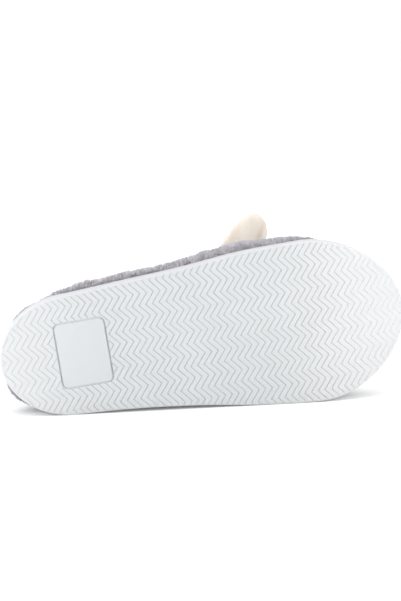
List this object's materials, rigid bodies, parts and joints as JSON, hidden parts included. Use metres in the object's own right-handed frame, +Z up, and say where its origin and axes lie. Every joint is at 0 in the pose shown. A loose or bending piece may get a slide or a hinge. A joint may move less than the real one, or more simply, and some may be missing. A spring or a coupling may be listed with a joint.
{
  "type": "house slipper",
  "caption": "Right house slipper lying on its side: hollow fleece upper with closed heel and open collar, plush ears, soft insole and a moulded sole.",
  "frame": {"origin": "middle of the underside of the box round the slipper, on the floor that it lies on", "axes": "+X from heel to toe, +Y from the tread to the collar, +Z up from the floor, from the medial to the lateral side"},
  "size_m": [0.258, 0.1062, 0.119],
  "materials": {
    "outsole": "matt white moulded rubber foam",
    "insole": "short grey fleece over foam",
    "upper": "soft grey fleece",
    "ears": "short cream plush"
  },
  "bodies": {
    "root": {"outsole": "outsole", "insole": "insole", "upper": "upper", "ear_lateral": "ears", "ear_medial": "ears"}
  },
  "joints": []
}
